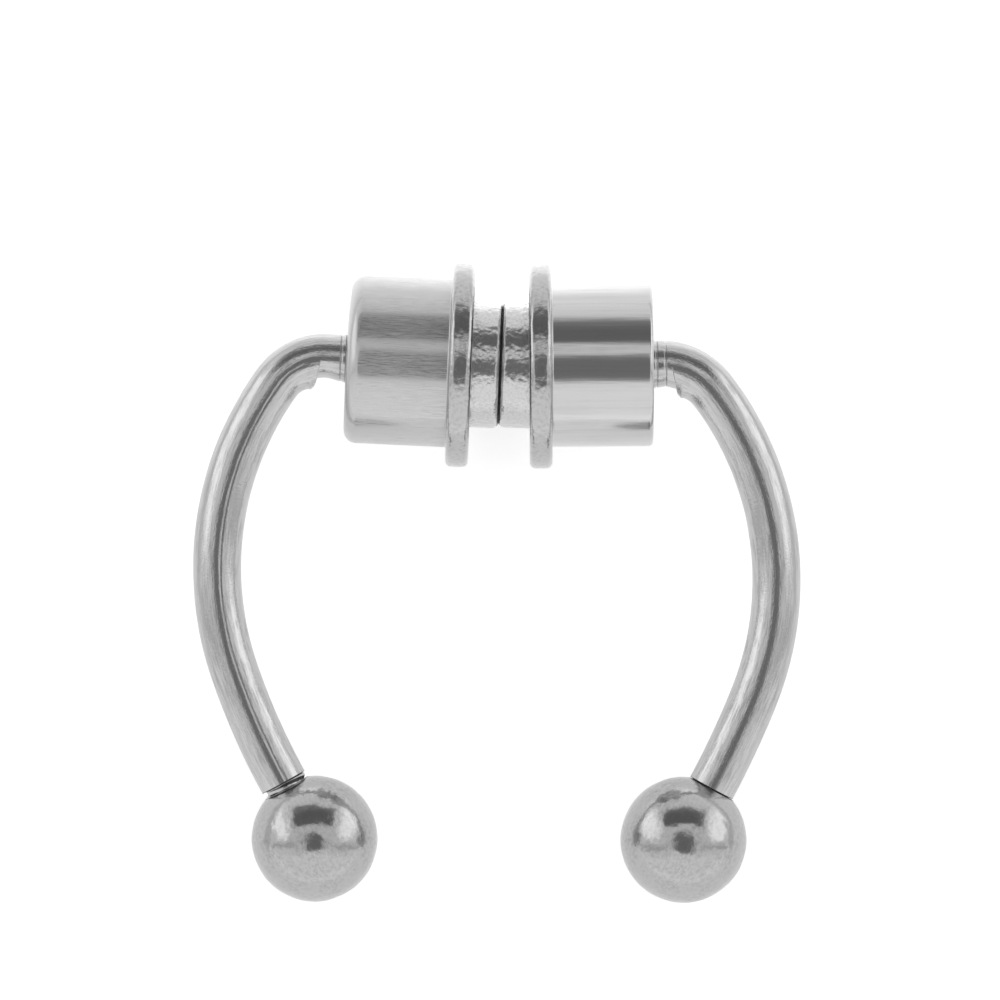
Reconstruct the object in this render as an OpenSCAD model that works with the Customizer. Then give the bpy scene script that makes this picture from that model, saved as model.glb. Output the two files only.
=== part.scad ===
// Magnetic septum ring: two mirrored halves, each a turned cup that holds a disc magnet, a bent bar and a screw-on ball.
// Each half is drawn in its own frame, with x outward along the cup's axis from where the magnets meet, y up along
// the ring and z out of its plane. The ring then lies on its side: on the rims of the flanges and on the balls.
// A value given as a pair is for the left and the right half.

/* [Magnets] */
// Diameter of each disc magnet
magnet_d = 3; // [2.6:0.1:3.2]
// Thickness of each disc magnet
magnet_length = 2; // [1.6:0.1:2.2]
// How far each magnet stands out of its cup
magnet_proud = 0.66; // [0.5:0.02:0.8]
// Gap between the faces of the two magnets
magnet_gap = 0.04; // [0.02:0.01:0.1]
// Room for the glue around and behind each magnet
glue_gap = 0.1; // [0.1:0.01:0.14]
// Round on the edges of each magnet
magnet_round = 0.14; // [0.08:0.01:0.2]

/* [Cups] */
// Diameter of the flange that lies against the nose
flange_d = 4.92; // [4.6:0.02:5.2]
// Thickness of the flange
flange_t = 0.54; // [0.4:0.02:0.7]
// Round on the rim of the flange
flange_round = 0.13; // [0.08:0.01:0.18]
// Diameter of the barrel
barrel_d = [4, 3.9]; // [3.8:0.02:4.2]
// Length of the barrel behind its flange
barrel_length = [2.46, 2.4]; // [2.2:0.02:2.8]
// Round on the outer edge of the barrel
barrel_round = [0.3, 0.1]; // [0.08:0.01:0.35]

/* [Bars] */
// Diameter of the bent bar
bar_d = 1.15; // [1.1:0.01:1.2]
// Diameter of the ground neck between the bar and the cup
neck_d = 1.05; // [1:0.01:1.05]
// Length of the collar where the bar meets the cup
collar_length = 0.12; // [0.08:0.01:0.14]
// Length of the spigot that holds the bar in the cup
spigot_length = 1; // [0.6:0.05:1.1]
// Room around the spigot
spigot_gap = 0.02; // [0.01:0.01:0.02]
// Length of the straight neck, from the cup to the first bend
neck_length = [0.45, 0.17]; // [0.16:0.01:0.6]
// Where the full bar starts, past the start of the first bend
shoulder_at = [0.14, 0.3]; // [0.1:0.01:0.35]
// Lean of the shoulder's face
shoulder_lean = 9.6; // [6:0.1:12]
// Radius of the first bend, beside the cup
first_radius = [1.4, 1.57]; // [1.3:0.01:1.8]
// Angle of the first bend
first_angle = [56.7, 53.2]; // [50:0.1:60]
// Radius of the long bend along the side of the nose
second_radius = [7.54, 7.47]; // [7:0.01:8]
// Angle of the long bend
second_angle = [54.3, 59.2]; // [50:0.1:62]
// Radius of the last bend, before the ball
third_radius = [16.4, 21.6]; // [14:0.1:24]
// Angle of the last bend
third_angle = [10.4, 6.3]; // [5:0.1:12]

/* [Balls] */
// Diameter of each ball
ball_d = 3; // [2.8:0.05:3.2]
// Distance from a ball's centre to the flat around its hole, as a share of the ball's radius
ball_flat = 0.92; // [0.88:0.01:0.92]
// Distance from a ball's flat to the end of its bar
ball_stand = [0.15, 0.02]; // [0.02:0.01:0.2]
// Diameter of the threaded stud, drawn plain
stud_d = 1; // [0.9:0.02:1.02]
// Length of the stud out of the end of the bar
stud_length = 1.6; // [1.2:0.05:1.8]
// Room around the stud in the ball
stud_gap = 0.04; // [0.02:0.01:0.05]

/* [Pose] */
// Lean of the half in the ring's plane, outer end up
lean = [2.5, 0.4]; // [0:0.1:3]

/* [Hidden] */
$fn = 96;
LEFT = 0;
RIGHT = 1;
STEEL = "#c3c3c2";
NICKEL = "#b4b2ad";
// Edge of the box that cuts the shoulder, and how far a hole's cut runs past the face that it opens
CUTTER = 2;
PAST = 1;
// How far a solid that is fused to the next one runs into it
ROOT = 0.3;
// How much the bar swells where one bend meets the next
SWELL = 0.02;
// Round on the edge of the barrel that lies inside the flange
UNSEEN = 0.05;
// Distance from the meeting of the magnets to the point that the right magnet is turned about
MAGNET_PIVOT = 0.52;

radii = [for (side = [LEFT, RIGHT]) [first_radius[side], second_radius[side], third_radius[side]]];
angles = [for (side = [LEFT, RIGHT]) [first_angle[side], second_angle[side], third_angle[side]]];
bends = len(radii[LEFT]);
flange_face = magnet_gap / 2 + magnet_proud;
barrel_face = flange_face + flange_t;
pocket_depth = magnet_length - magnet_proud + glue_gap;
neck_shift = (bar_d - neck_d) / 2 - SWELL;
magnet_skew = lean[LEFT] + lean[RIGHT];
ball_face = ball_flat * ball_d / 2;

function end_face(side) = barrel_face + barrel_length[side];
function bend_start(side) = end_face(side) + neck_length[side];

// Place and heading along a bar, after its first n bends, as the turn down from the cup's axis
function turned(side, n) = n == 0 ? 0 : turned(side, n - 1) + angles[side][n - 1];
function along(from, to) = [sin(to) - sin(from), cos(to) - cos(from)];
function joint_at(side, n) = n == 0
    ? [bend_start(side), 0]
    : joint_at(side, n - 1) + radii[side][n - 1] * along(turned(side, n - 1), turned(side, n));
function centre_at(side, n) =
    joint_at(side, n) - radii[side][n] * [sin(turned(side, n)), cos(turned(side, n))];
function ahead(side, length) =
    joint_at(side, bends) + length * [cos(turned(side, bends)), -sin(turned(side, bends))];
function leaned(side, p) =
    [p.x * cos(lean[side]) - p.y * sin(lean[side]), p.x * sin(lean[side]) + p.y * cos(lean[side])];
function ball_centre(side) = ahead(side, ball_stand[side] + ball_face);

// How far the widest bend and the ball reach, which gives the resting tilt and the middle of the base
function reach(side) = leaned(side, centre_at(side, 1)).x + radii[side][1] + bar_d / 2;
ball_drop = -leaned(RIGHT, ball_centre(RIGHT)).y;
rest_tilt = asin((flange_d - ball_d) / 2 / ball_drop);
base_x = (reach(LEFT) - reach(RIGHT)) / 2;
base_y = (ball_drop * cos(rest_tilt) + ball_d / 2 - flange_d / 2) / 2;

module lying()
    translate([base_x, base_y, flange_d / 2]) rotate([rest_tilt, 0, 0]) children();

module half(side)
    lying() mirror([side == LEFT ? 1 : 0, 0, 0]) rotate([0, 0, lean[side]]) children();

// Turned solids have their axis along x
module turned_on_axis(x = 0) translate([x, 0, 0]) rotate([0, 90, 0]) children();

// A disc whose near and far edges have their own rounds, drawn as half of its section
module disc_section(r, length, near_round, far_round) {
    square([r - max(near_round, far_round), length]);
    translate([0, near_round]) square([r, length - near_round - far_round]);
    square([r - near_round, length / 2]);
    translate([0, length / 2]) square([r - far_round, length / 2]);
    translate([r - near_round, near_round]) circle(near_round);
    translate([r - far_round, length - far_round]) circle(far_round);
}

module magnet() color(NICKEL)
    turned_on_axis(magnet_gap / 2)
        rotate_extrude() disc_section(magnet_d / 2, magnet_length, magnet_round, magnet_round);

module cup(side) color(STEEL) difference() {
    union() {
        turned_on_axis(flange_face)
            rotate_extrude() disc_section(flange_d / 2, flange_t, flange_round, flange_round);
        turned_on_axis(flange_face + flange_t / 2)
            rotate_extrude()
                disc_section(barrel_d[side] / 2, barrel_length[side] + flange_t / 2, UNSEEN, barrel_round[side]);
    }
    turned_on_axis(flange_face - PAST)
        cylinder(h = pocket_depth + PAST, d = magnet_d + 2 * glue_gap);
    turned_on_axis(end_face(side) - spigot_length - glue_gap)
        cylinder(h = spigot_length + glue_gap + PAST, d = neck_d + 2 * spigot_gap);
}

// One bend of a bar, as part of a ring torus
module bend(side, n, d, shift = 0, sweep = 0) {
    angle = sweep == 0 ? angles[side][n] : sweep;
    translate(centre_at(side, n))
        rotate([0, 0, 90 - turned(side, n) - angle])
            rotate_extrude(angle = angle) translate([radii[side][n] + shift, 0]) circle(d = d);
}

// The slight swell that the bending tool leaves where one bend meets the next, which joins them as one solid
module swell(side, n)
    translate(joint_at(side, n)) rotate([0, 0, -turned(side, n)])
        turned_on_axis() sphere(d = bar_d + 2 * SWELL);

// The ground neck takes its metal off the inner side of the bar, so it runs flush along the outer side.
// It goes on inside the full bar for half of the first bend, which makes the two one solid.
module neck(side) {
    face = end_face(side);
    turned_on_axis(face - spigot_length) cylinder(h = spigot_length, d = neck_d);
    turned_on_axis(face) cylinder(h = collar_length, d = bar_d);
    translate([0, neck_shift, 0])
        turned_on_axis(face) cylinder(h = neck_length[side], d = neck_d);
    bend(side, 0, neck_d, neck_shift, first_angle[side] / 2);
}

module bar(side) color(STEEL) {
    neck(side);
    difference() {
        union() {
            for (n = [0 : bends - 1]) bend(side, n, bar_d);
            for (n = [1 : bends - 1]) swell(side, n);
        }
        translate([bend_start(side) + shoulder_at[side], 0, 0]) rotate([0, 0, shoulder_lean])
            translate([-CUTTER, -CUTTER / 2, -CUTTER / 2]) cube(CUTTER);
    }
    translate(ahead(side, -ROOT)) rotate([0, 0, -turned(side, bends)])
        turned_on_axis() cylinder(h = stud_length + ROOT, d = stud_d);
}

module ball(side) color(STEEL)
    translate(ball_centre(side)) rotate([0, 0, 180 - turned(side, bends)])
        turned_on_axis() difference() {
            sphere(d = ball_d);
            translate([0, 0, ball_face]) cylinder(h = ball_d, d = ball_d);
            translate([0, 0, ball_stand[side] + ball_face - stud_length - glue_gap])
                cylinder(h = ball_d, d = stud_d + 2 * stud_gap);
        }

module left_bar() half(LEFT) bar(LEFT);
module left_cup() half(LEFT) cup(LEFT);
module left_magnet() half(LEFT) magnet();
module left_ball() half(LEFT) ball(LEFT);
module right_bar() half(RIGHT) bar(RIGHT);
module right_cup() half(RIGHT) cup(RIGHT);
module right_ball() half(RIGHT) ball(RIGHT);

// The right magnet sits askew in its glue, so that its face lies flat against the left one
module right_magnet() half(RIGHT)
    translate([MAGNET_PIVOT, 0, 0]) rotate([0, 0, -magnet_skew]) translate([-MAGNET_PIVOT, 0, 0]) magnet();

left_bar();
left_cup();
left_magnet();
left_ball();
right_bar();
right_cup();
right_magnet();
right_ball();
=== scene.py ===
# %% [markdown]
# # A magnetic septum ring, lying on a white table
# The ring is two halves. Each half is a turned steel cup with a disc magnet glued into it, a bent steel
# bar and a screw-on ball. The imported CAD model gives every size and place. This script makes the pieces
# that are seen: the same shapes with the marks that the lathe, the bending tool and the tumbler leave,
# and their metals.

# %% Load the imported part
import functools
import math

import bmesh
import bpy
from mathutils import Matrix, Vector, noise


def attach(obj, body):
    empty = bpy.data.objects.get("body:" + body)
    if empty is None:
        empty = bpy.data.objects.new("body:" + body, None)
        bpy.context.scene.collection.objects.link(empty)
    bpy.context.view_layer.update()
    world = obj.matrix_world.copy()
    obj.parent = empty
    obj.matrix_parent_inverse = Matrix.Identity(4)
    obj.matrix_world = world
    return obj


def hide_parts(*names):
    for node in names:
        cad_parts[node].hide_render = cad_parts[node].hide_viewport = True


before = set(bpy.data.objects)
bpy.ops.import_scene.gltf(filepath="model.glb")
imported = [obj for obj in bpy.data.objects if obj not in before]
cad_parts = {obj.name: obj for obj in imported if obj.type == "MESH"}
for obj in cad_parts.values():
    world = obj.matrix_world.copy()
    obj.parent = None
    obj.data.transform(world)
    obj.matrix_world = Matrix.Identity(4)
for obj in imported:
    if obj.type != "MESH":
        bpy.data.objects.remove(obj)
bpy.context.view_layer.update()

# %% [markdown]
# ## Sizes
# Blender works in metres, and jewellery is measured in millimetres, so the pieces are made in
# millimetres and scaled once at the end. Each half has its own frame: x runs outward along the cup's
# axis from where the magnets meet, y up the ring and z out of its plane. The two halves differ by
# tenths of a millimetre, as hand-made ones do.

# %% Sizes of the two halves
MM = 0.001
MAGNET_R, MAGNET_LENGTH, MAGNET_PROUD, MAGNET_GAP, GLUE_GAP = 1.5, 2.0, 0.66, 0.04, 0.1
FLANGE_R, FLANGE_T, FLANGE_ROUND = 2.46, 0.54, 0.13
BAR_R, NECK_R, STUD_LENGTH, BALL_R = 0.575, 0.525, 1.6, 1.5
BALL_FLAT = 0.92
BALL_FACE = BALL_FLAT * BALL_R
HALVES = {
    "left": dict(
        barrel_r=2.0, barrel_length=2.46, barrel_round=0.3, dome=0.06, neck=0.45, shoulder=0.14,
        bends=((1.4, 56.7), (7.54, 54.3), (16.4, 10.4)), stand=0.15, lean=2.5, mirror=-1,
        lip=0.14, bulge=0.1, taper=0.1, ring_lines=(0.1,), die_lines=(9.5,), lathe=0.0005, tumble=41.2),
    "right": dict(
        barrel_r=1.95, barrel_length=2.4, barrel_round=0.1, dome=0.0, neck=0.17, shoulder=0.3,
        bends=((1.57, 53.2), (7.47, 59.2), (21.6, 6.3)), stand=0.02, lean=0.4, mirror=1,
        lip=0.13, bulge=0.085, taper=0.05, ring_lines=(0.09, 0.3), die_lines=(), lathe=0.001, tumble=33.2),
}
FLANGE_FACE = MAGNET_GAP / 2 + MAGNET_PROUD
for half in HALVES.values():
    half["end_face"] = FLANGE_FACE + FLANGE_T + half["barrel_length"]
    half["bend_start"] = half["end_face"] + half["neck"]
    half["bar_end"] = half["bend_start"] + sum(r * math.radians(a) for r, a in half["bends"])
lengths = [round(half["bar_end"] - half["end_face"], 2) for half in HALVES.values()]
print("bars are", lengths, "mm long when straight")

# %% [markdown]
# ## From a straight bar to a bent one
# A real bar is turned and threaded while it is straight, and bent afterwards. The pieces are made in
# the same order: a point of the straight bar is carried along three arcs, one after the other. A curve
# with a bevel could make the tube too, but then the neck, the lip and the thread would have to be
# fitted to it afterwards. A mark that is upright beside the cup, although the bar is bent there, has to
# run aslant on the straight bar.

# %% Bend a point along the arcs of a half
def bent(half, point):
    along, above, out = point
    x, y, heading = half["bend_start"], 0.0, 0.0
    left = along - x
    if left <= 0:
        return Vector(point)
    for radius, degrees in half["bends"]:
        centre_x = x - radius * math.sin(heading)
        centre_y = y - radius * math.cos(heading)
        angle = min(left / radius, math.radians(degrees))
        heading += angle
        x = centre_x + radius * math.sin(heading)
        y = centre_y + radius * math.cos(heading)
        left -= angle * radius
        if left <= 0:
            break
    x += left * math.cos(heading) + above * math.sin(heading)
    y += -left * math.sin(heading) + above * math.cos(heading)
    return Vector((x, y, out))


def upright(half, x, y):
    radius = half["bends"][0][0]
    past = max(0.0, x - half["bend_start"])
    return x - past + radius * math.asin(radius * math.sin(past / radius) / (radius + y))


def ball_place(half):
    centre = bent(half, (half["bar_end"] + half["stand"] + BALL_FACE, 0, 0))
    turn = math.radians(180 - sum(degrees for _, degrees in half["bends"]))
    return Matrix.Translation(centre) @ Matrix.Rotation(turn, 4, "Z")

# %% [markdown]
# ## Laying the ring down
# The ring lies on its side. It rests on the rims of the two flanges and on the balls, and the balls are
# smaller, so the ring's plane leans by almost five degrees. The place is worked out as in the CAD
# source.

# %% Place each half in the row frame
def reach(half):
    radius, degrees = half["bends"][0]
    second = half["bends"][1][0]
    heading = math.radians(degrees)
    x = half["bend_start"] + (radius - second) * math.sin(heading)
    y = (radius - second) * math.cos(heading) - radius
    lean = math.radians(half["lean"])
    return x * math.cos(lean) - y * math.sin(lean) + second + BAR_R


def leaned(half):
    return Matrix.Rotation(math.radians(half["lean"]), 4, "Z")


ball_drop = -(leaned(HALVES["right"]) @ ball_place(HALVES["right"]).translation).y
rest_tilt = math.asin((FLANGE_R - BALL_R) / ball_drop)
base_x = (reach(HALVES["left"]) - reach(HALVES["right"])) / 2
base_y = (ball_drop * math.cos(rest_tilt) + BALL_R - FLANGE_R) / 2
lying = Matrix.Translation((base_x, base_y, FLANGE_R)) @ Matrix.Rotation(rest_tilt, 4, "X")
for half in HALVES.values():
    half["place"] = Matrix.Scale(MM, 4) @ lying @ Matrix.Diagonal((half["mirror"], 1, 1, 1)) @ leaned(half)
print("the ring leans", round(math.degrees(rest_tilt), 3), "degrees")
print("the magnets meet at", round(base_x, 4), round(base_y, 4), "mm")

# %% [markdown]
# ## The camera
# The photograph looks straight at the ring's plane through a long lens, so nothing converges. Here the
# ring lies down, so the camera hangs above it and looks down along the normal of that plane. It comes
# before the pieces, so that every later test picture has the photograph's frame.

# %% Hang the camera over the ring
PICTURE_WIDTH = 23.81
PICTURE_MIDDLE = Vector((-0.012, -3.202, 0))
LENS, SENSOR = 300.0, 36.0
NEAREST, FARTHEST = 10, 3000
facing = Matrix.Rotation(rest_tilt, 4, "X")
camera_data = bpy.data.cameras.new("camera")
camera_data.lens, camera_data.sensor_width = LENS, SENSOR
distance = PICTURE_WIDTH * LENS / SENSOR
camera = bpy.data.objects.new("camera", camera_data)
target = Vector((base_x, base_y, FLANGE_R)) + facing @ PICTURE_MIDDLE
camera.matrix_world = Matrix.Translation((target + facing @ Vector((0, 0, distance))) * MM) @ facing
camera_data.clip_start, camera_data.clip_end = NEAREST * MM, FARTHEST * MM
bpy.context.scene.collection.objects.link(camera)
bpy.context.scene.camera = camera
print("the camera is", round(distance), "mm from the ring")

# %% [markdown]
# ## Turning a piece
# Cups, magnets, balls and bars all come off a lathe. So each starts as half of its section: a chain of
# a few corners, each (x, radius, round). The corners are bevelled to their own rounds, the chain is cut
# finer, and it is spun round the x axis. Every step of a spin takes as long as the mesh is large, so
# one thin slice is spun first and then copied round, which is ten times faster than one full spin.
# Merging doubles closes the seams and the poles. Where each point was on the lathe is kept in an
# attribute, in metres, so that the marks in the materials follow the piece after it is bent and laid
# down.

# %% Lathe: a chain of corners, bevelled, cut finer and spun
TURNED = "as_turned"
SLICES = 16
ROUND_CUTS = 8
SAME_PLACE = 1e-4


def section(corners):
    bm = bmesh.new()
    verts = [bm.verts.new((x, r, 0)) for x, r, _ in corners]
    for pair in zip(verts, verts[1:]):
        bm.edges.new(pair)
    for vert, (_, _, rounding) in zip(verts, corners):
        if rounding:
            bmesh.ops.bevel(bm, geom=[vert], offset=rounding, offset_type="OFFSET", segments=ROUND_CUTS,
                            profile=0.5, affect="VERTICES", material=-1)
    return bm


def cut_and_spin(bm, steps, spacing):
    for edge in bm.edges[:]:
        cuts = int(edge.calc_length() / spacing((edge.verts[0].co + edge.verts[1].co) / 2))
        if cuts:
            bmesh.ops.subdivide_edges(bm, edges=[edge], cuts=cuts)
    slice_angle = math.tau / SLICES
    bmesh.ops.spin(bm, geom=bm.verts[:] + bm.edges[:], cent=(0, 0, 0), axis=(1, 0, 0), angle=slice_angle,
                   steps=steps // SLICES)
    bmesh.ops.spin(bm, geom=bm.verts[:] + bm.edges[:] + bm.faces[:], cent=(0, 0, 0), axis=(1, 0, 0),
                   angle=math.tau - slice_angle, steps=SLICES - 1, use_duplicate=True)
    bmesh.ops.remove_doubles(bm, verts=bm.verts[:], dist=SAME_PLACE)
    bmesh.ops.recalc_face_normals(bm, faces=bm.faces[:])
    layer = bm.verts.layers.float_vector.new(TURNED)
    for vert in bm.verts:
        vert[layer] = vert.co * MM
    return bm

# %% [markdown]
# ## From a bmesh to a piece of the ring
# The finished piece's object stays at the origin and its place is in its mesh, as with the CAD nodes. A
# mirrored half turns its faces inside out, so the normals are worked out again. Each piece rides on its
# CAD body and stands for its CAD node.

# %% Finish a piece
def finish(bm, name, place, body, node):
    bmesh.ops.transform(bm, matrix=place, verts=bm.verts[:])
    bmesh.ops.recalc_face_normals(bm, faces=bm.faces[:])
    for face in bm.faces:
        face.smooth = True
    open_edges = sum(not edge.is_manifold for edge in bm.edges)
    mesh = bpy.data.meshes.new(name)
    bm.to_mesh(mesh)
    bm.free()
    piece = bpy.data.objects.new(name, mesh)
    bpy.context.scene.collection.objects.link(piece)
    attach(piece, body)
    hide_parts(node)
    print(name, len(mesh.polygons), "faces,", open_edges, "open edges")
    return piece

# %% [markdown]
# ## Dents and ripples
# Nothing so small comes off a machine perfectly even. The tumbler leaves the balls slightly lumpy,
# plating leaves the magnets like orange peel, and the flanges' rims are pitted. A bump in the material
# would show in the gloss but not in the mesh, so the larger ripples are moved points, along their
# normals, by smooth noise.

# %% Move points by noise
def everywhere(vert):
    return 1.0


def ripple(bm, size, height, share=everywhere, seed=0.0, stretch=1.0):
    bm.normal_update()
    shift = Vector((seed, seed, seed))
    for vert in bm.verts:
        part = share(vert)
        if part > 0:
            at = Vector((vert.co.x / stretch, vert.co.y, vert.co.z)) / size
            vert.co += vert.normal * height * part * noise.noise(at + shift)


def smooth_step(value, low, high):
    t = min(max((value - low) / (high - low), 0.0), 1.0)
    return t * t * (3 - 2 * t)


def radius_of(point):
    return math.hypot(point.y, point.z)

# %% [markdown]
# ## The cups
# A cup is one turned piece: a flange that lies against the nose, a barrel behind it, a pocket for the
# magnet in front and a hole for the bar behind. A boolean could cut the pocket and the hole, but they
# are turned too, so they are simply part of the section. The left cup's end is slightly domed, a little
# askew, and well rounded. The right one's is flat and crisp, as in the photograph. The flange's rim is
# left rough, so it has its own finish.

# %% Turn the cups
POCKET_DEPTH = MAGNET_LENGTH - MAGNET_PROUD + GLUE_GAP
POCKET_R = MAGNET_R + GLUE_GAP
SPIGOT_LENGTH, SPIGOT_GAP = 1.0, 0.02
SPIGOT_HOLE_R = NECK_R + SPIGOT_GAP
CUP_STEPS, CUP_SPACING, RIM_SPACING, HIDDEN_SPACING = 320, 0.06, 0.035, 0.4
RIM_FROM, RIM_FULL, RIM_CROWN = 2.3, 2.42, 0.016
DOME_FROM, DOME_FULL, DOME_SKEW = 0.9, 0.1, 0.8
RIM_FINISH_FROM = 0.08
POCKET_ROUND, FLANGE_FILLET, HOLE_ROUND = 0.03, 0.04, 0.02
UNEVEN_SIZE, UNEVEN_HEIGHT = 0.9, 0.0016
LATHE_MARK_SIZE, LATHE_MARK_STRETCH = 0.16, 9
PIT_SIZE, PIT_DEPTH = 0.1, 0.006


def on_rim(vert):
    return smooth_step(radius_of(vert.co), RIM_FROM, RIM_FULL)


def cup_spacing(middle):
    if middle.y > RIM_FROM:
        return RIM_SPACING
    in_pocket = middle.y <= POCKET_R and middle.x <= FLANGE_FACE + POCKET_DEPTH + CUP_SPACING
    return HIDDEN_SPACING if in_pocket else CUP_SPACING


def cup(side):
    half = HALVES[side]
    face, back, end = FLANGE_FACE, FLANGE_FACE + FLANGE_T, half["end_face"]
    hole_end = end - SPIGOT_LENGTH - GLUE_GAP
    bm = section([
        (face + POCKET_DEPTH, 0, 0), (face + POCKET_DEPTH, POCKET_R, 0), (face, POCKET_R, POCKET_ROUND),
        (face, FLANGE_R, FLANGE_ROUND), (back, FLANGE_R, FLANGE_ROUND),
        (back, half["barrel_r"], FLANGE_FILLET), (end, half["barrel_r"], half["barrel_round"]),
        (end, SPIGOT_HOLE_R, HOLE_ROUND), (hole_end, SPIGOT_HOLE_R, 0), (hole_end, 0, 0),
    ])
    cut_and_spin(bm, CUP_STEPS, cup_spacing)
    for vert in bm.verts:
        off_middle = (vert.co.x - face - FLANGE_T / 2) / (FLANGE_T / 2)
        vert.co.yz *= 1 - RIM_CROWN / FLANGE_R * on_rim(vert) * min(1, off_middle ** 2)
        domed = (radius_of(vert.co) / half["barrel_r"]) ** 2
        domed *= smooth_step(vert.co.x, end - DOME_FROM, end - DOME_FULL)
        vert.co.x -= half["dome"] * domed * (1 + DOME_SKEW * vert.co.y / half["barrel_r"])
    ripple(bm, UNEVEN_SIZE, UNEVEN_HEIGHT, seed=half["lean"])
    ripple(bm, LATHE_MARK_SIZE, half["lathe"], stretch=LATHE_MARK_STRETCH)
    ripple(bm, PIT_SIZE, PIT_DEPTH, on_rim, seed=half["lean"])
    for part in bm.faces:
        part.material_index = int(radius_of(part.calc_center_median()) > half["barrel_r"] + RIM_FINISH_FROM)
    return finish(bm, f"{side}_cup_turned", half["place"], f"{side}_half", f"{side}_cup")


cups = [cup(side) for side in HALVES]

# %% [markdown]
# ## The magnets
# Disc magnets are pressed, ground and nickel plated, which rounds their edges. Each is a spun rectangle
# with bevelled corners. A dark ring between the near ones is partly dirt and partly painted shade of the
# crease. The right magnet sits askew in its glue, so that its face lies flat against the left one. The CAD
# keeps 0.04 mm between the two faces. Here they come closer, because light shows through even such a gap.

# %% Spin the magnets
MAGNET_ROUND, MAGNET_PIVOT, SHOWN_GAP = 0.14, 0.52, 0.002
MAGNET_SKEW = math.radians(sum(half["lean"] for half in HALVES.values()))
MAGNET_STEPS, SIDE_SPACING, FACE_SPACING = 400, 0.025, 0.3
PEEL_FROM, PEEL, GRIME_AND_SHADE_WIDTH = 1.4, ((0.2, 0.005), (0.09, 0.006)), 0.034
skewed = (Matrix.Translation((MAGNET_PIVOT, 0, 0)) @ Matrix.Rotation(-MAGNET_SKEW, 4, "Z")
          @ Matrix.Translation((-MAGNET_PIVOT, 0, 0)))


def magnet(side, body, askew):
    half = HALVES[side]
    near, far = SHOWN_GAP / 2, MAGNET_GAP / 2 + MAGNET_LENGTH
    bm = section([(near, 0, 0), (near, MAGNET_R, MAGNET_ROUND), (far, MAGNET_R, MAGNET_ROUND), (far, 0, 0)])
    cut_and_spin(bm, MAGNET_STEPS, lambda middle: SIDE_SPACING if middle.y > PEEL_FROM else FACE_SPACING)

    def on_side(vert):
        return smooth_step(radius_of(vert.co), PEEL_FROM, MAGNET_R)

    for size, height in PEEL:
        ripple(bm, size, height, on_side, seed=half["lean"])
    # The ring at the near edge gets the dark finish: partly dirt, partly painted shade of the crease
    for part in bm.faces:
        middle = part.calc_center_median()
        at_edge = radius_of(middle) > MAGNET_R - MAGNET_ROUND
        part.material_index = int(middle.x < near + GRIME_AND_SHADE_WIDTH and at_edge)
    place = half["place"] @ askew
    return finish(bm, f"{side}_magnet_plated", place, body, f"{side}_magnet")


magnets = [magnet("left", "left_half", Matrix.Identity(4)), magnet("right", "right_magnet", skewed)]

# %% [markdown]
# ## The bars
# Each bar is one long turned piece: a spigot inside the cup, a collar, the bar itself and the threaded
# end. Then the neck is ground, the thread is cut and the piece is bent, in that order. Grinding takes
# metal off the inner half of the neck only, which leaves a lip, and the lip's inner end lies further
# from the cup than its middle. Bending thickens the inner side of the bar just past the lip. The left
# bar also has a fine line along its whole length, scratched by the drawing die, which splits the dark
# reflection of the camera's hole in two.

# %% Grind the neck and scratch the lines
EDGE = 0.01
GRIND_FROM, GRIND_FULL = -0.1, 0.9
BULGE_AT, BULGE_LENGTH, INWARD_POWER = 0.3, 0.5, 1.5
LIP_BEFORE, LIP_AFTER = 0.06, 0.8
RING_LINE_WIDTH, RING_LINE_DEPTH, RING_LINE_LEAST = 0.026, 0.025, 0.05
DIE_LINE_WIDTH, DIE_LINE_DEPTH, DIE_LINE_FADE, DIE_LINE_LEAST = 0.03, 0.005, 0.4, 0.01


def shoulder_x(half):
    return half["bend_start"] + half["shoulder"]


def grind_neck(half, bm):
    face, shoulder = half["end_face"], shoulder_x(half)
    for vert in bm.verts:
        x, inner = vert.co.x, max(0.0, -vert.co.y / BAR_R)
        if face - EDGE < x < shoulder - EDGE / 2 and radius_of(vert.co) > SPIGOT_HOLE_R:
            ground = smooth_step((x - face) / (shoulder - face), GRIND_FROM, GRIND_FULL)
            vert.co.y += half["taper"] * ground * inner
        if x > shoulder - EDGE / 2:
            thick = math.exp(-((x - shoulder - BULGE_AT) / BULGE_LENGTH) ** 2)
            vert.co.y -= half["bulge"] * inner ** INWARD_POWER * thick
        if x < shoulder:
            far = smooth_step(shoulder - x, 2 * EDGE, LIP_BEFORE)
        else:
            far = smooth_step(x - shoulder, 0, LIP_AFTER)
        lip_x = upright(half, shoulder + half["lip"] * inner ** INWARD_POWER, min(0.0, vert.co.y))
        vert.co.x += (lip_x - shoulder) * (1 - far)


def turn_ring_lines(half, bm):
    for line in half["ring_lines"]:
        for vert in bm.verts:
            off = vert.co.x - upright(half, half["end_face"] + line, vert.co.y)
            groove = math.exp(-(off / RING_LINE_WIDTH) ** 2)
            if groove > RING_LINE_LEAST and radius_of(vert.co) > SPIGOT_HOLE_R:
                vert.co.yz *= 1 - RING_LINE_DEPTH * groove


def draw_die_lines(half, bm):
    start = shoulder_x(half) + half["lip"]
    for degrees in half["die_lines"]:
        for vert in bm.verts:
            off = BAR_R * (math.atan2(-vert.co.y, vert.co.z) - math.radians(degrees))
            groove = math.exp(-(off / DIE_LINE_WIDTH) ** 2)
            groove *= smooth_step(vert.co.x, start, start + DIE_LINE_FADE)
            if groove > DIE_LINE_LEAST and vert.co.x < half["bar_end"] + EDGE:
                vert.co.yz *= 1 - DIE_LINE_DEPTH / BAR_R * groove

# %% [markdown]
# ## The thread
# A ridge could be swept along a helix and joined to the stud, but the joined mesh would cut through
# itself. The stud is cut fine enough, so its points are simply moved out on the crest of the thread and
# left in its root, and the mesh stays one closed skin. The thread is 0.25 mm a turn, as on 16 gauge
# bars.

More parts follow.
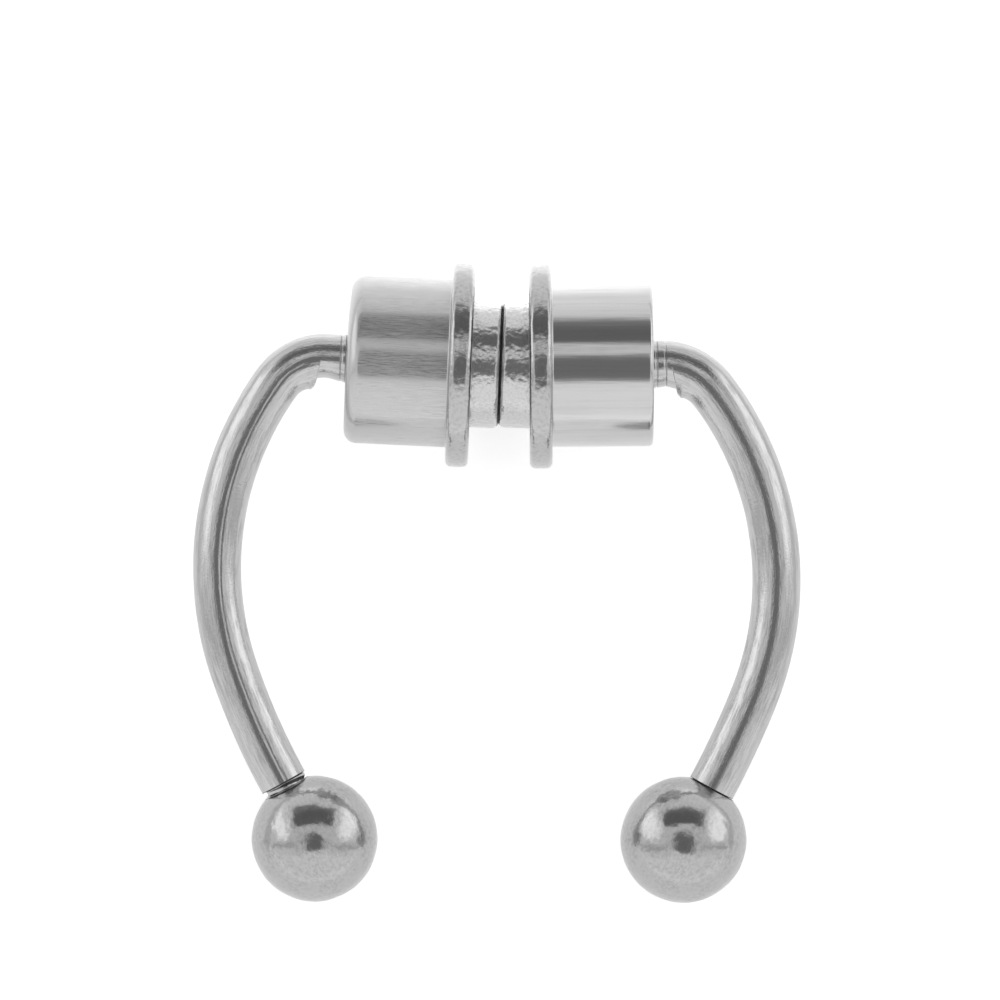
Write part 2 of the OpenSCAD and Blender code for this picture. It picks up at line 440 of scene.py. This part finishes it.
# %% Cut a thread into a round stretch
STUD_ROOT_R, STUD_CREST_R, THREAD_PITCH = 0.47, 0.54, 0.25
THREAD_START, TOOTH_ROOT, TOOTH_CREST = 0.3, 0.15, 0.85


def cut_thread(bm, start, end):
    for vert in bm.verts:
        r = radius_of(vert.co)
        if start + EDGE < vert.co.x < end - EDGE and abs(r - STUD_ROOT_R) < EDGE:
            round_the_stud = math.atan2(vert.co.z, vert.co.y) / math.tau
            turn = (vert.co.x - start) / THREAD_PITCH - round_the_stud + THREAD_START
            tooth = smooth_step(abs((turn % 1) * 2 - 1), TOOTH_ROOT, TOOTH_CREST)
            fade = smooth_step(end - vert.co.x, 0.0, THREAD_PITCH)
            vert.co.yz *= (STUD_ROOT_R + (STUD_CREST_R - STUD_ROOT_R) * tooth * fade) / r

# %% Turn, grind, thread and bend the bars
BAR_STEPS = 256
NECK_SPACING, BAR_SPACING, THREAD_SPACING = 0.012, 0.12, 0.018
FINE_STRETCH, GRIMY_AND_SHADED_EDGE = 0.6, 0.015
SPIGOT_ROUND, COLLAR_ROUND, END_ROUND, STUD_ROUND = 0.05, 0.015, 0.02, 0.1
BAR_WAVE_SIZE, BAR_WAVE_HEIGHT, BAR_WAVE_FADE = 1.1, 0.004, 1
DRAWN_SIZE, DRAWN_HEIGHT, DRAWN_LENGTHENED = 0.09, 0.0012, 14
DRAWN_FROM, DRAWN_FULL = 0.54, 0.56


def bar(side):
    half = HALVES[side]
    face, shoulder, end = half["end_face"], shoulder_x(half), half["bar_end"]
    past_neck = shoulder + FINE_STRETCH

    def spacing(middle):
        if face < middle.x < past_neck:
            return NECK_SPACING
        return THREAD_SPACING if middle.x > end else BAR_SPACING

    def past_the_neck(vert):
        return smooth_step(vert.co.x, past_neck, past_neck + BAR_WAVE_FADE)

    def on_full_bar(vert):
        return smooth_step(radius_of(vert.co), DRAWN_FROM, DRAWN_FULL)

    bm = section([
        (face - SPIGOT_LENGTH, 0, 0), (face - SPIGOT_LENGTH, NECK_R, SPIGOT_ROUND),
        (face, NECK_R, 0), (face, BAR_R, COLLAR_ROUND), (shoulder - EDGE, BAR_R, 0), (shoulder, BAR_R, 0),
        (past_neck, BAR_R, 0), (end, BAR_R, END_ROUND), (end, STUD_ROOT_R, 0),
        (end + STUD_LENGTH, STUD_ROOT_R, STUD_ROUND), (end + STUD_LENGTH, 0, 0),
    ])
    cut_and_spin(bm, BAR_STEPS, spacing)
    turn_ring_lines(half, bm)
    grind_neck(half, bm)
    cut_thread(bm, end, end + STUD_LENGTH)
    ripple(bm, BAR_WAVE_SIZE, BAR_WAVE_HEIGHT, past_the_neck, seed=half["lean"])
    ripple(bm, DRAWN_SIZE, DRAWN_HEIGHT, on_full_bar, seed=half["lean"], stretch=DRAWN_LENGTHENED)
    draw_die_lines(half, bm)
    # The bar's end beside the ball gets the dark finish: partly dirt, partly painted shade of the gap there
    for part in bm.faces:
        middle = part.calc_center_median()
        at_end = end - GRIMY_AND_SHADED_EDGE < middle.x < end + EDGE
        part.material_index = int(at_end and radius_of(middle) > STUD_ROOT_R)
    for vert in bm.verts:
        vert.co = bent(half, vert.co)
    return finish(bm, f"{side}_bar_bent", half["place"], f"{side}_half", f"{side}_bar")


bars = [bar(side) for side in HALVES]

# %% [markdown]
# ## The balls
# A ball has a small flat round its threaded hole. Its section is an arc, which a single point makes
# when it is spun in the plane, and then the flat, the hole's wall and its end. On its own axis the hole
# points along +x. The flat and the end of the bar both have a dark finish, partly dirt and partly painted
# shade of the gap between them.

# %% Spin the balls
BALL_STEPS, ARC_STEPS, BALL_SPACING, HOLE_SPACING = 320, 130, 0.04, 0.3
HOLE_R, FLAT_EDGE = 0.54, 0.004
DENTS, DENTS_FADE = ((0.8, 0.013), (0.3, 0.006), (0.11, 0.0024)), 0.08


def on_ball(vert):
    return smooth_step(vert.co.length, BALL_R - DENTS_FADE, BALL_R)


def ball(side):
    half = HALVES[side]
    bm = bmesh.new()
    pole = bm.verts.new((-BALL_R, 0, 0))
    flat_at = math.acos(BALL_FACE / BALL_R)
    arc = bmesh.ops.spin(bm, geom=[pole], cent=(0, 0, 0), axis=(0, 0, 1), angle=flat_at - math.pi,
                         steps=ARC_STEPS)
    edge = arc["geom_last"][0]
    hole_end = half["stand"] + BALL_FACE - STUD_LENGTH - GLUE_GAP
    for x, r in ((BALL_FACE, HOLE_R), (hole_end, HOLE_R), (hole_end, 0)):
        corner = bm.verts.new((x, r, 0))
        bm.edges.new((edge, corner))
        edge = corner
    cut_and_spin(bm, BALL_STEPS, lambda middle: BALL_SPACING if middle.length > BALL_FACE else HOLE_SPACING)
    for size, height in DENTS:
        ripple(bm, size, height, on_ball, seed=half["tumble"])
    # The flat gets the dark finish: partly dirt, partly painted shade of the gap at the bar's end
    for part in bm.faces:
        part.material_index = int(part.calc_center_median().x > BALL_FACE - FLAT_EDGE)
    place = half["place"] @ ball_place(half)
    return finish(bm, f"{side}_ball_tumbled", place, f"{side}_ball", f"{side}_ball")


balls = [ball(side) for side in HALVES]

# %% [markdown]
# ## A helper for node trees
# One small function adds a node, sets what is special about it and links its inputs, so that a material
# reads from top to bottom like a recipe. Another turns a screen colour into light by the sRGB curve.

# %% Add a node with its settings and links
def add(tree, kind, sockets=None, **settings):
    node = tree.nodes.new("ShaderNode" + kind)
    for name, value in settings.items():
        setattr(node, name, value)
    for name, value in (sockets or {}).items():
        if isinstance(value, bpy.types.NodeSocket):
            tree.links.new(value, node.inputs[name])
        else:
            node.inputs[name].default_value = value
    return node


def linear(hex_colour):
    channels = [int(hex_colour[i:i + 2], 16) / 255 for i in (1, 3, 5)]
    return tuple(c / 12.92 if c <= 0.04045 else ((c + 0.055) / 1.055) ** 2.4 for c in channels) + (1.0,)

# %% [markdown]
# ## The metals
# Cups, bars and balls are the same 316L stainless steel with five finishes, and the magnets are nickel
# plated. A metal has no colour of its own but what it reflects, so what tells these apart is how smooth
# they are and which way their marks run. The patterns read the place on the lathe, in metres, so their
# sizes are real ones. Most marks are finer than the picture can show, so they are drawn a few times
# coarser than they are. The left cup's are left as fine as they are, and show as an even haze.

# %% A surface with marks, grain and worn places
CLOUD_SIZE, CLOUD_FROM, CLOUD_TO = (1.1, 0.7, 0.7), 0.35, 0.65


def worn_surface(name, clean, marked, smooth, rough, mark_size, mark_depth, grain_size, grain_depth,
                 marks_at=(0.42, 0.68), even=0.25, metallic=1.0):
    material = bpy.data.materials.new(name)
    material.use_nodes = True
    tree = material.node_tree
    tree.nodes.clear()
    place = add(tree, "Attribute", attribute_name=TURNED).outputs["Vector"]

    def pattern(size, detail, roughness):
        scale = tuple(1 / (side * MM) for side in size)
        at = add(tree, "Mapping", {"Vector": place, "Scale": scale}).outputs["Vector"]
        noise_at = {"Vector": at, "Scale": 1.0, "Detail": detail, "Roughness": roughness}
        return add(tree, "TexNoise", noise_at).outputs[0]

    marks = pattern(mark_size, detail=3.0, roughness=0.65)
    grain = pattern((grain_size,) * 3, detail=2.0, roughness=0.5)
    cloud = pattern(CLOUD_SIZE, detail=3.0, roughness=0.6)
    worn = add(tree, "MapRange", {"Value": cloud, "From Min": CLOUD_FROM, "From Max": CLOUD_TO,
                                  "To Min": even})
    deep = add(tree, "MapRange", {"Value": marks, "From Min": marks_at[0], "From Max": marks_at[1],
                                  "To Max": worn.outputs[0]})
    colour = add(tree, "Mix", {"Factor": deep.outputs[0], "A": linear(clean), "B": linear(marked)},
                 data_type="RGBA")
    dull = add(tree, "MapRange", {"Value": deep.outputs[0], "To Min": smooth, "To Max": rough})
    mark_bump = add(tree, "Bump", {"Height": marks, "Distance": mark_depth * MM, "Strength": 1.0})
    bump = add(tree, "Bump", {"Height": grain, "Distance": grain_depth * MM, "Strength": 1.0,
                              "Normal": mark_bump.outputs[0]})
    shader = add(tree, "BsdfPrincipled", {"Base Color": colour.outputs["Result"], "Metallic": metallic,
                                          "Roughness": dull.outputs[0], "Normal": bump.outputs[0]})
    add(tree, "OutputMaterial", {"Surface": shader.outputs[0]})
    return material

# %% Finishes of the cups
STEEL = "316L stainless steel"
# Fine dull lines of the buffing wheel run between clean ones, so the left cup's bands are crisp under a haze
buffed = worn_surface(
    STEEL + ", turned and buffed", clean="#c8c8c8", marked="#c4c4c4", smooth=0.1, rough=0.55,
    marks_at=(0.46, 0.52), even=0.9, mark_size=(0.4, 0.003, 0.003), mark_depth=0.00001,
    grain_size=0.3, grain_depth=0.0008)
# The right cup is polished further, so its bands have crisp edges that waver only slightly
polished = worn_surface(
    STEEL + ", turned and polished", clean="#cacaca", marked="#bebebe", smooth=0.1, rough=0.2,
    mark_size=(2.5, 0.1, 0.1), mark_depth=0.0014, grain_size=0.3, grain_depth=0.0008)
# The wheel misses the flanges' rims, which stay pitted and a little darker
pitted = worn_surface(
    STEEL + ", turned and pitted", clean="#bcbcbc", marked="#a9a9a9", smooth=0.12, rough=0.26,
    mark_size=(0.09, 0.09, 0.09), mark_depth=0.004, grain_size=0.05, grain_depth=0.002)

# %% Finishes of the bars, the balls and the magnets
# A drawn bar keeps long fine lines from its die, which streak its reflections lengthwise
drawn = worn_surface(
    STEEL + ", drawn and bent", clean="#c4c4c4", marked="#a2a2a2", smooth=0.13, rough=0.34,
    mark_size=(0.5, 0.05, 0.05), mark_depth=0.004, grain_size=0.05, grain_depth=0.003)
# Balls knock against each other in the tumbler, which leaves short scuffs all over
tumbled = worn_surface(
    STEEL + ", tumbled", clean="#b7b7b7", marked="#a2a2a2", smooth=0.12, rough=0.24,
    mark_size=(0.1, 0.08, 0.09), mark_depth=0.0022, grain_size=0.05, grain_depth=0.0014)
# Plating over a coarse sintered body is bright but lumpy, like the peel of an orange
nickel = worn_surface(
    "nickel plating on a sintered magnet", clean="#cccccc", marked="#b4b4b4", smooth=0.1, rough=0.22,
    mark_size=(0.055, 0.055, 0.055), mark_depth=0.004, grain_size=0.04, grain_depth=0.0014)
# Skin oil and dust fill the joints, and their shade is painted in too, so they draw dark lines
grime_and_painted_shade = worn_surface(
    "grime and painted shade in the joints", clean="#4a4a4a", marked="#242424", smooth=0.5, rough=0.7,
    mark_size=(0.09, 0.09, 0.09), mark_depth=0.003, grain_size=0.04, grain_depth=0.0014, metallic=0.0)

# %% Give each piece its finishes
left_cup, right_cup = cups
for pieces, finishes in (((left_cup,), (buffed, pitted)), ((right_cup,), (polished, pitted)),
                         (bars, (drawn, grime_and_painted_shade)), (balls, (tumbled, grime_and_painted_shade)), (magnets, (nickel, grime_and_painted_shade))):
    for piece in pieces:
        for material in finishes:
            piece.data.materials.append(material)
        print(piece.name, "is", " and ".join(material.name for material in finishes))

# %% [markdown]
# ## The studio
# Bright metal shows its surroundings, so the studio makes half of the look. The ring is photographed in
# a white light tent. The camera looks in through a round hole, which is the dark spot in every ball,
# and above the hole hangs a dark card, which gives the second dark band along the cups. A lamp shines
# through the cloth on either side, which gives each ball its two light patches, and below the lamps
# runs a seam. The cloth is brighter in front of the ring than behind it, and it brightens near the
# table, most of all behind the ring. The world's own direction draws all that. Height up the picture
# and side are in degrees from the lens. Upward is the share of the direction that points up the
# picture. Each edge is given as where it starts and where it is full.

# %% A white light tent with a hole, a dark card, two lamps and a seam
HOLE_HEIGHT, HOLE_EDGE, HOLE_DEPTH = math.radians(-6), (23, 14), 0.74
CARD_HEIGHTS, CARD_SIDE, CARD_DEPTH = ((26, 32), (110, 46), (72, 63)), (38, 32), 0.79
SEAM_HEIGHTS, SEAM_SIDE, SEAM_DEPTH = ((-0.24, -0.19), (-0.12, -0.17)), (24, 36), 0.4
LAMP_HEIGHTS, LAMP_SIDES, LAMP_LIGHT = ((-6, 12), (104, 74)), ((38, 54), (80, 70)), 0.65
FRONT_EDGE, CLOTH_BEHIND, CLOTH_IN_FRONT = (-0.15, -0.6), 0.82, 1.05
LOW_EDGE, LOW_LIGHT, FAR_EDGE, FAR_LIGHT = (0.35, 0.0), 0.12, (62, 80), 0.1


def tent():
    world = bpy.data.worlds.new("light tent")
    bpy.context.scene.world = world
    world.use_nodes = True
    tree = world.node_tree
    tree.nodes.clear()

    def ramp(value, edge, start=0.0, end=1.0):
        ends = {"From Min": edge[0], "From Max": edge[1], "To Min": start, "To Max": end}
        return add(tree, "MapRange", {"Value": value, **ends}, interpolation_type="SMOOTHSTEP").outputs[0]

    def compute(operation, *values):
        return add(tree, "Math", dict(enumerate(values)), operation=operation).outputs[0]

    def both(*shares):
        return functools.reduce(lambda one, other: compute("MULTIPLY", one, other), shares)

    direction = add(tree, "TexCoord").outputs["Generated"]
    from_lens = add(tree, "VectorRotate", {"Vector": direction, "Angle": -rest_tilt},
                    rotation_type="X_AXIS").outputs[0]
    parts = add(tree, "SeparateXYZ", {"Vector": from_lens}).outputs
    sideways, upward, towards = parts["X"], parts["Y"], parts["Z"]
    height = compute("DEGREES", compute("ARCTAN2", upward, towards))
    side = compute("DEGREES", compute("ARCSINE", compute("ABSOLUTE", sideways)))
    hole_at = (0, math.sin(HOLE_HEIGHT), math.cos(HOLE_HEIGHT))
    to_hole = add(tree, "VectorMath", {0: from_lens, 1: hole_at}, operation="DOT_PRODUCT").outputs["Value"]
    off_hole = compute("DEGREES", compute("ARCCOSINE", to_hole))

    hole = ramp(off_hole, HOLE_EDGE)
    card = both(*(ramp(height, edge) for edge in CARD_HEIGHTS), ramp(side, CARD_SIDE))
    seam = both(*(ramp(upward, edge) for edge in SEAM_HEIGHTS), ramp(side, SEAM_SIDE))
    lamp = both(*(ramp(side, edge) for edge in LAMP_SIDES), *(ramp(height, edge) for edge in LAMP_HEIGHTS))
    low = ramp(add(tree, "SeparateXYZ", {"Vector": direction}).outputs["Z"], LOW_EDGE)
    far = ramp(height, FAR_EDGE)
    near_table = compute("ADD", compute("MULTIPLY", low, LOW_LIGHT), compute("MULTIPLY", far, FAR_LIGHT))
    cloth = compute("ADD", ramp(upward, FRONT_EDGE, CLOTH_BEHIND, CLOTH_IN_FRONT), near_table)
    lit = compute("ADD", cloth, compute("MULTIPLY", lamp, LAMP_LIGHT))
    for dark, depth in ((hole, HOLE_DEPTH), (card, CARD_DEPTH), (seam, SEAM_DEPTH)):
        lit = compute("MULTIPLY", lit, compute("SUBTRACT", 1.0, compute("MULTIPLY", dark, depth)))
    background = add(tree, "Background", {"Color": (1, 1, 1, 1), "Strength": lit})
    add(tree, "OutputWorld", {"Surface": background.outputs[0]})
    print("the tent has", len(tree.nodes), "nodes")


tent()

# %% [markdown]
# ## The table
# The table is white acrylic that glows evenly, like the tables lit from below that product photographers
# use to get a white background and hardly any shadow. The sheet is laid twice, a hair apart: a plain one
# that the picture shows, and one that only the metal shows. On that one a pool of light is painted into
# the glow, brightest behind the cups, which whitens their upper edges as a painted reflection, and the
# glow is painted dimmer beside the ring, which draws the dark line down the sides of the balls and bars
# as a painted reflection.

# %% Lay the table twice
TABLE_HALF_WIDTH, HAIR = 1500.0, 0.01
MATT, PLAIN_GLOW = 0.9, 0.62


def acrylic_sheet(name, height):
    grid = bmesh.new()
    bmesh.ops.create_grid(grid, x_segments=1, y_segments=1, size=TABLE_HALF_WIDTH * MM)
    bmesh.ops.translate(grid, vec=(0, 0, height * MM), verts=grid.verts[:])
    mesh = bpy.data.meshes.new(name)
    grid.to_mesh(mesh)
    grid.free()
    sheet = bpy.data.objects.new(name, mesh)
    bpy.context.scene.collection.objects.link(sheet)
    material = bpy.data.materials.new("glowing white acrylic")
    material.use_nodes = True
    tree = material.node_tree
    tree.nodes.clear()
    surface = add(tree, "BsdfPrincipled", {
        "Base Color": linear("#d2d2d2"), "Roughness": MATT,
        "Emission Color": linear("#ffffff"), "Emission Strength": PLAIN_GLOW})
    add(tree, "OutputMaterial", {"Surface": surface.outputs[0]})
    mesh.materials.append(material)
    return sheet, tree, surface


plain_sheet, _, _ = acrylic_sheet("table", 0.0)
plain_sheet.visible_glossy = False
# This sheet carries painted light, which only the metal reflects
seen_sheet, seen_tree, seen_surface = acrylic_sheet("painted_light_table_in_the_metal", HAIR)
seen_sheet.visible_camera = False
seen_sheet.visible_diffuse = False
seen_sheet.visible_transmission = False
seen_sheet.visible_shadow = False

# %% Paint a pool of light and dimmer sides into the sheet that the metal shows
POOL_AT, POOL_SIZE = Vector((0, 9.5, 0)), Vector((18, 11.5, 1))
GLOW, POOL_GLOW = 0.44, 1.25
LIT_HALF_WIDTH, DIM_FROM, DIM_SHARE = 12.5, 16.5, 0.3
LIT_FRONT, DIM_BEHIND = -12.0, -7.5


# Painted light: a pool of glow behind the cups and a dimmer glow beside the ring, seen as painted
# reflections
def paint_light_pool_and_dim_sides(tree, surface):
    on_table = add(tree, "TexCoord").outputs["Object"]
    from_pool = add(tree, "Mapping", {"Vector": on_table, "Location": POOL_AT * MM, "Scale": POOL_SIZE * MM},
                    vector_type="TEXTURE").outputs[0]
    pool = add(tree, "TexGradient", {"Vector": from_pool}, gradient_type="QUADRATIC_SPHERE").outputs[1]
    glow = add(tree, "MapRange", {"Value": pool, "To Min": GLOW, "To Max": POOL_GLOW}).outputs[0]
    across = add(tree, "SeparateXYZ", {"Vector": on_table}).outputs
    aside = add(tree, "Math", {0: across["X"]}, operation="ABSOLUTE").outputs[0]
    dimmest = add(tree, "MapRange", {
        "Value": across["Y"], "From Min": LIT_FRONT * MM, "From Max": DIM_BEHIND * MM,
        "To Min": 1.0, "To Max": DIM_SHARE}).outputs[0]
    dimmed = add(tree, "MapRange", {
        "Value": aside, "From Min": LIT_HALF_WIDTH * MM, "From Max": DIM_FROM * MM,
        "To Min": 1.0, "To Max": dimmest}).outputs[0]
    strength = add(tree, "Math", {0: glow, 1: dimmed}, operation="MULTIPLY").outputs[0]
    tree.links.new(strength, surface.inputs["Emission Strength"])
    print("the sheet glows from", round(GLOW * DIM_SHARE, 3), "beside the ring to", POOL_GLOW, "behind it")


paint_light_pool_and_dim_sides(seen_tree, seen_surface)

# %% [markdown]
# ## The lamp
# A large soft lamp hangs behind the ring, above the picture's upper edge, and gives the table its faint
# shade. It isn't seen in the metal itself, where the tent's cloth hides it.

# %% Hang the lamp
LAMP_AT, LAMP_TARGET = Vector((0, 60, 80)), Vector((0, 5, 0))
LAMP_WIDTH, LAMP_WATTS = 80, 0.02
lamp_data = bpy.data.lights.new("soft lamp", "AREA")
lamp_data.shape, lamp_data.size, lamp_data.energy = "DISK", LAMP_WIDTH * MM, LAMP_WATTS
lamp = bpy.data.objects.new("soft lamp", lamp_data)
lamp_turn = (LAMP_AT - LAMP_TARGET).to_track_quat("Z", "Y")
lamp.matrix_world = Matrix.Translation(LAMP_AT * MM) @ lamp_turn.to_matrix().to_4x4()
lamp.visible_glossy = False
bpy.context.scene.collection.objects.link(lamp)
print("the lamp hangs", round((LAMP_AT - LAMP_TARGET).length), "mm from the ring")

# %% [markdown]
# ## Colour
# The picture is judged next to a plain photograph, so its tones go to the screen as they are.

# %% Tones as they are
bpy.context.scene.view_settings.view_transform = "Standard"
